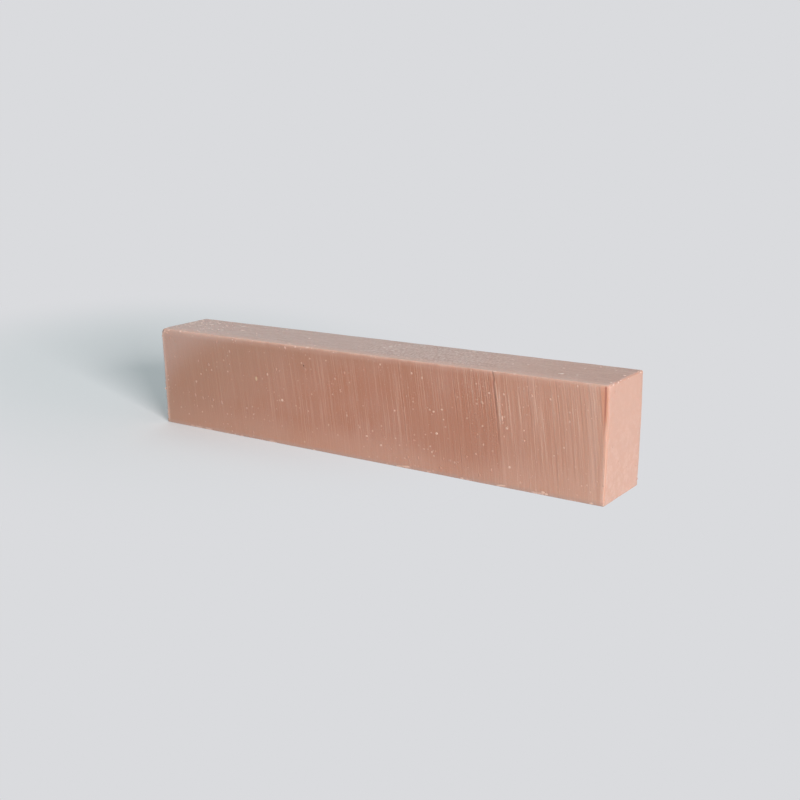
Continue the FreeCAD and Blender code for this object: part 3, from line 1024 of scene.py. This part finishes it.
def crumb_tree():
    """Adds scattered points to the seeds, and puts a lumpy crumb on each."""
    tree, given, wanted = new_tree(
        "stuck_crumbs",
        {
            "Seeds": "geometry",
            "Bar": "object",
            "Crumbs Per Square Metre": "number",
            "Least Spacing": "number",
            "Smallest": "number",
            "Largest": "number",
            "Seed": "whole",
        },
        {"Crumbs": "geometry"},
    )
    bar = node(tree, "GeometryNodeObjectInfo", {"Object": given["Bar"]}).outputs["Geometry"]
    spot = node(tree, "GeometryNodeInputPosition").outputs[0]
    x, _, z = split(spot)
    clustered = ramp(grain(spot, 16 * mm, 2.0), 0.40, 0.66, 0.15, 1.0)
    top = stored(tree, "top_face")
    front = stored(tree, "front_face")
    edge = stored(tree, "worn_edge")
    loose_end = times(top, ramp(x, -100 * mm, -135 * mm), 2.0)
    above_foot = ramp(z, 0.3 * mm, 1.0 * mm)
    on_front = times(front, ramp(x, -120 * mm, -60 * mm, 0.25, 0.45))
    on_face = plus(0.10, on_front, times(top, 0.25))
    often = plus(on_face, times(edge, 0.5), loose_end)
    broken = times(stored(tree, "broken"), 6.0)
    share = times(plus(times(often, clustered), broken), 0.12, above_foot)
    scatter = node(
        tree,
        "GeometryNodeDistributePointsOnFaces",
        {
            "Mesh": bar,
            "Distance Min": given["Least Spacing"],
            "Density Max": given["Crumbs Per Square Metre"],
            "Density Factor": share,
            "Seed": given["Seed"],
        },
        distribute_method="POISSON",
    )
    chance = random_number(tree, 0.0, 1.0, 3)
    few_large = times(chance, chance, chance)
    spread = maths("SUBTRACT", given["Largest"], given["Smallest"])
    breadth = plus(given["Smallest"], times(few_large, spread))
    length = times(breadth, random_number(tree, 0.8, 1.7, 4))
    height = times(breadth, random_number(tree, 0.25, 0.45, 5))
    points = keep(scatter.outputs["Points"], "outward", scatter.outputs["Normal"], "FLOAT_VECTOR")
    size = vector_of(breadth, length, height)
    points = keep(points, "crumb_size", size, "FLOAT_VECTOR")
    points = keep(points, "paleness", random_number(tree, -0.9, 0.25, 6))
    joined = tree.nodes.new("GeometryNodeJoinGeometry")
    tree.links.new(points, joined.inputs[0])
    tree.links.new(given["Seeds"], joined.inputs[0])

    lump = node(tree, "GeometryNodeMeshUVSphere", {"Segments": 8, "Rings": 5, "Radius": 0.5}).outputs[0]
    inputs = {"Primary Axis": stored(tree, "outward", "FLOAT_VECTOR"), "Secondary Axis": (1.0, 0.15, 0.1)}
    turn = node(tree, "FunctionNodeAxesToRotation", inputs, primary_axis="Z", secondary_axis="X").outputs[0]
    lumps = node(
        tree,
        "GeometryNodeInstanceOnPoints",
        {
            "Points": joined.outputs[0],
            "Instance": lump,
            "Rotation": turn,
            "Scale": stored(tree, "crumb_size", "FLOAT_VECTOR"),
        },
    ).outputs[0]
    whole = node(tree, "GeometryNodeRealizeInstances", {"Geometry": lumps}).outputs[0]
    noise = node(tree, "ShaderNodeTexNoise", {"Vector": spot, "Scale": 0.7 / (0.5 * mm), "Detail": 2.0})
    half = (0.5, 0.5, 0.5)
    shift = node(tree, "ShaderNodeVectorMath", {0: noise.outputs["Color"], 1: half}, operation="SUBTRACT")
    breadth_here = split(stored(tree, "crumb_size", "FLOAT_VECTOR"))[0]
    most = maths("MINIMUM", times(breadth_here, 0.55), 0.45 * mm)
    push = node(tree, "ShaderNodeVectorMath", {0: shift.outputs[0], "Scale": most}, operation="SCALE")
    there = node(tree, "ShaderNodeVectorMath", {0: spot, 1: push.outputs[0]}, operation="ADD").outputs[0]
    inside = within_cut_size(there)
    lumpy = node(tree, "GeometryNodeSetPosition", {"Geometry": whole, "Position": inside}).outputs[0]
    finished = node(tree, "GeometryNodeSetMaterial", {"Geometry": lumpy, "Material": crumbs_dry}).outputs[0]
    tree.links.new(finished, wanted["Crumbs"])
    return tree


def crumb_finish():
    material, tree, shader = new_material("dry_crumbs")
    place = node(tree, "ShaderNodeTexCoord").outputs["Object"]
    each = plus(times(grain(place, 3.0 * mm, 2.0), 0.8), -0.4)
    x, y, z = split(place)
    share = ramp(plus(painted(tree, "paleness"), each), 0.0, 1.0)
    dulled = times(share, ramp(x, -100 * mm, -60 * mm, 0.45, 1.0))
    pale = maths("MAXIMUM", dulled, ramp(x, -143 * mm, -147 * mm, 0.0, 0.7))
    off_front = ramp(y, -18.5 * mm, -15 * mm, 0.3, 1.0)
    off_end = ramp(x, 148.8 * mm, 147.5 * mm, 0.3, 1.0)
    on_top = times(ramp(z, 58.2 * mm, 59.0 * mm), off_front, off_end)
    plain = mixed(soap_colour, dry_colour, ramp(x, 60 * mm, 140 * mm, 0.2, 0.9))
    plain = mixed(plain, end_and_sheen_colour, ramp(x, 145 * mm, 148 * mm))
    plain = mixed(plain, dust_and_shade_colour, ramp(x, -20 * mm, -90 * mm, 0.0, 0.4))
    plain = mixed(plain, edge_colour, ramp(z, 56 * mm, 58.5 * mm, 0.0, 0.9))
    plain = mixed(plain, bloom_and_sheen_colour, times(on_top, 0.8))
    colour = mixed(plain, mixed(crumb_colour, flake_colour, on_top), pale)
    middle = [yellow_crumb[0][0] * mm, yellow_crumb[0][2] * mm]
    yellow = ramp(distance_from(x, z, middle, (2 * mm, 2 * mm)), 1.3, 0.9)
    colour = mixed(colour, yellow_crumb_colour, yellow)
    tree.links.new(colour, shader.inputs["Base Color"])
    powder = grain(place, 0.25 * mm, 2.0)
    tree.links.new(ramp(powder, 0.3, 0.7, 0.5, 0.75), shader.inputs["Roughness"])
    bump = node(tree, "ShaderNodeBump", {"Strength": 1.0, "Distance": 0.04 * mm, "Height": powder}).outputs[0]
    tree.links.new(bump, shader.inputs["Normal"])
    return material


crumbs_dry = crumb_finish()
crumbs = new_piece("stuck_crumbs", crumb_seeds(seen_crumbs))
crumb_values = {
    "Bar": soap_bar,
    "Crumbs Per Square Metre": 800000.0,
    "Least Spacing": 0.7 * mm,
    "Smallest": 0.4 * mm,
    "Largest": 1.5 * mm,
    "Seed": 11,
}
make_solid(crumbs, crumb_tree(), crumb_values)
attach(crumbs, "root")


# The table and the light
# The bar stands on pale paper that runs on into the backdrop without a line. A large soft lamp stands
# beyond the right end, and the room's light fills the rest.
paper_colour = (0.88, 0.915, 0.935)
backdrop_colour = (0.701, 0.708, 0.730)
shadow_middle = (-0.28, 0.09, 0.0)
shadow_turn = math.radians(151)  # the shadow falls this way
paper_reach = (0.36, 0.22, 1.0)  # the lit paper gives way to the backdrop this far along it and across
window_colour = (1.0, 0.92, 0.91)
room_colour = (0.91, 0.99, 1.0)
room_strength = 0.37


def paper_finish():
    material, tree, shader = new_material("pale_paper")
    place = node(tree, "ShaderNodeTexCoord").outputs["Object"]
    fibre = grain(place, 1.2 * mm, 3.0)
    colour = mixed([0.985 * c for c in paper_colour], paper_colour, fibre)
    tree.links.new(colour, shader.inputs["Base Color"])
    shader.inputs["Roughness"].default_value = 0.9
    shader.inputs["Specular IOR Level"].default_value = 0.1
    inputs = {
        "Vector": place,
        "Location": shadow_middle,
        "Rotation": (0.0, 0.0, shadow_turn),
        "Scale": paper_reach,
    }
    about = node(tree, "ShaderNodeMapping", inputs, vector_type="TEXTURE").outputs[0]
    distance = node(tree, "ShaderNodeVectorMath", {0: about}, operation="LENGTH").outputs["Value"]
    shown = {"Color": (*backdrop_colour, 1.0), "Strength": 1.0}
    backdrop = node(tree, "ShaderNodeEmission", shown).outputs[0]
    far = ramp(distance, 0.3, 1.1)
    blend = node(tree, "ShaderNodeMixShader", {0: far, 1: shader.outputs[0], 2: backdrop}).outputs[0]
    surface = next(n for n in tree.nodes if n.type == "OUTPUT_MATERIAL")
    tree.links.new(blend, surface.inputs["Surface"])
    return material


def paper_sheet():
    reach = 8.0
    mesh = bpy.data.meshes.new("paper")
    corners = [(-reach, -reach, 0), (reach, -reach, 0), (reach, reach, 0), (-reach, reach, 0)]
    mesh.from_pydata(corners, [], [(0, 1, 2, 3)])
    mesh.materials.append(paper_finish())
    return new_piece("paper", mesh)


def lamp(name, azimuth, elevation, distance, size, power, colour):
    """A square soft lamp that looks at the middle of the bar. Azimuth 0 is off the right end."""
    data = bpy.data.lights.new(name, "AREA")
    data.shape = "SQUARE"
    data.size = size
    data.energy = power
    data.color = colour
    turned = math.radians(azimuth)
    raised = math.radians(elevation)
    way = Vector((math.cos(turned) * math.cos(raised), math.sin(turned) * math.cos(raised), math.sin(raised)))
    middle = Vector((0, 0, bar_height / 2))
    light = bpy.data.objects.new(name, data)
    facing = way.to_track_quat("Z", "Y").to_matrix().to_4x4()
    light.matrix_world = Matrix.Translation(middle + way * distance) @ facing
    bpy.context.scene.collection.objects.link(light)


lamp("window", -28.7, 12.5, 6.0, 1.8, 545, window_colour)
lamp("back_fill", 130, 55, 3.0, 1.5, 9.0, room_colour)

world = bpy.data.worlds.new("room")
world.use_nodes = True
bpy.context.scene.world = world
room = world.node_tree
room.nodes.clear()
ray = room.nodes.new("ShaderNodeLightPath").outputs
looked_at = maths("MAXIMUM", ray["Is Camera Ray"], ray["Is Glossy Ray"])
seen = maths("MAXIMUM", looked_at, ray["Is Transmission Ray"])
backdrop = {"Color": (*backdrop_colour, 1.0), "Strength": 1.0}
daylight = {"Color": (*room_colour, 1.0), "Strength": room_strength}
shown = node(room, "ShaderNodeBackground", backdrop).outputs[0]
lighting = node(room, "ShaderNodeBackground", daylight).outputs[0]
either = node(room, "ShaderNodeMixShader", {0: seen, 1: lighting, 2: shown}).outputs[0]
room.links.new(either, room.nodes.new("ShaderNodeOutputWorld").inputs["Surface"])

paper_sheet()
bpy.context.scene.view_settings.view_transform = "Standard"

bpy.context.view_layer.update()
